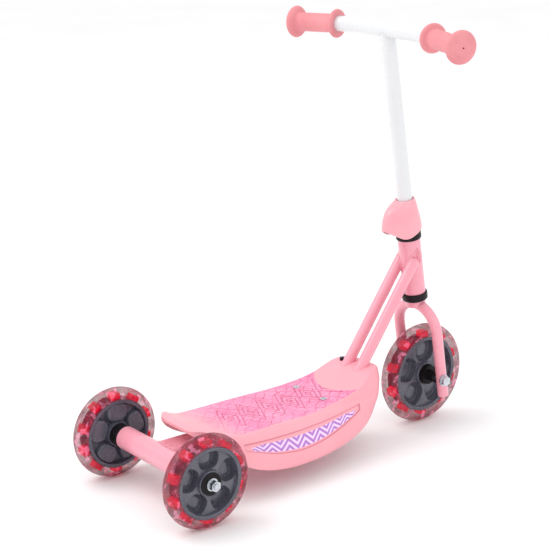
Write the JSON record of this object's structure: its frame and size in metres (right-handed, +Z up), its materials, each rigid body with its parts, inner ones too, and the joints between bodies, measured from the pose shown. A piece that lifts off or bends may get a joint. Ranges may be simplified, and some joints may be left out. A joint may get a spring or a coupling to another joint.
{
  "type": "kick scooter",
  "caption": "Toddler's three-wheeled kick scooter: moulded deck, tubular steel frame, turning fork and swept handlebar, clear tyres with light blocks.",
  "frame": {"origin": "on the ground, in the middle of the scooter's length and width", "axes": "+X forward in the direction of travel, +Y to the scooter's left, +Z up; the wheels spin about Y"},
  "size_m": [0.612, 0.3518, 0.6102],
  "materials": {
    "pink_steel": "gloss powder coat on steel tube",
    "white_steel": "gloss white powder coat on steel tube",
    "deck_pink": "satin moulded polypropylene, fine grain on the standing surface",
    "cover_pink": "satin moulded plastic",
    "grip_pink": "soft moulded grip, matt",
    "hub_grey": "dark grey moulded nylon",
    "clear_tyre": "clear cast polyurethane, tinted by the red light blocks inside",
    "light_red": "clear red light block",
    "black_plastic": "black moulded nylon",
    "black_steel": "black coated bolt",
    "zinc_steel": "bright zinc plate",
    "coil_copper": "varnished copper winding",
    "magnet": "sintered ferrite ring"
  },
  "bodies": {
    "frame": {"head_tube": "pink_steel", "down_tube_left": "pink_steel", "down_tube_right": "pink_steel", "backbone_tube": "pink_steel", "joint_plate": "pink_steel", "deck_plate": "pink_steel", "rear_axle_tube": "pink_steel", "rear_axle_rod": "zinc_steel", "axle_end_bushes": "black_plastic", "rear_axle_washers": "zinc_steel", "rear_axle_nuts": "zinc_steel", "rear_left_magnet_core": "magnet", "rear_right_magnet_core": "magnet", "deck": "deck_pink", "deck_screws_front": "zinc_steel", "deck_nuts": "zinc_steel", "deck_screws_rear": "zinc_steel", "nose_bolt": "black_steel", "lower_cup": "black_plastic", "upper_cup": "black_plastic"},
    "steering": {"fork": "pink_steel", "crown_washer": "black_plastic", "steerer_tube": "zinc_steel", "stem_clamp": "zinc_steel", "clamp_bolt": "zinc_steel", "clamp_nut": "zinc_steel", "headset_cover": "cover_pink", "front_axle_bolt": "zinc_steel", "front_axle_nut": "zinc_steel", "front_axle_washers": "zinc_steel", "front_axle_bushes": "black_plastic", "front_magnet_core": "magnet", "stem": "white_steel", "handlebar": "white_steel", "grip_left": "grip_pink", "grip_right": "grip_pink"},
    "rear_left_wheel": {"rear_left_tyre": "clear_tyre", "rear_left_light_blocks": "light_red", "rear_left_hub": "hub_grey", "rear_left_bearings": "zinc_steel", "rear_left_bearing_caps": "black_plastic", "rear_left_light_coil": "coil_copper"},
    "rear_right_wheel": {"rear_right_tyre": "clear_tyre", "rear_right_light_blocks": "light_red", "rear_right_hub": "hub_grey", "rear_right_bearings": "zinc_steel", "rear_right_bearing_caps": "black_plastic", "rear_right_light_coil": "coil_copper"},
    "front_wheel": {"front_tyre": "clear_tyre", "front_light_blocks": "light_red", "front_hub": "hub_grey", "front_bearings": "zinc_steel", "front_bearing_caps": "black_plastic", "front_light_coil": "coil_copper"}
  },
  "joints": [
    {"name": "steering_turn", "type": "hinge", "parent": "frame", "child": "steering", "pos_m": [0.23445, 0, 0.07558], "axis": [-0.1668, 0, 0.986], "range_deg": [-60, 60]},
    {"name": "front_wheel_spin", "type": "hinge", "parent": "steering", "child": "front_wheel", "pos_m": [0.231, 0, 0.075], "axis": [0, 1, 0], "continuous": true},
    {"name": "rear_left_wheel_spin", "type": "hinge", "parent": "frame", "child": "rear_left_wheel", "pos_m": [-0.2425, 0.106, 0.0635], "axis": [0, 1, 0], "continuous": true},
    {"name": "rear_right_wheel_spin", "type": "hinge", "parent": "frame", "child": "rear_right_wheel", "pos_m": [-0.2425, -0.106, 0.0635], "axis": [0, 1, 0], "continuous": true}
  ]
}
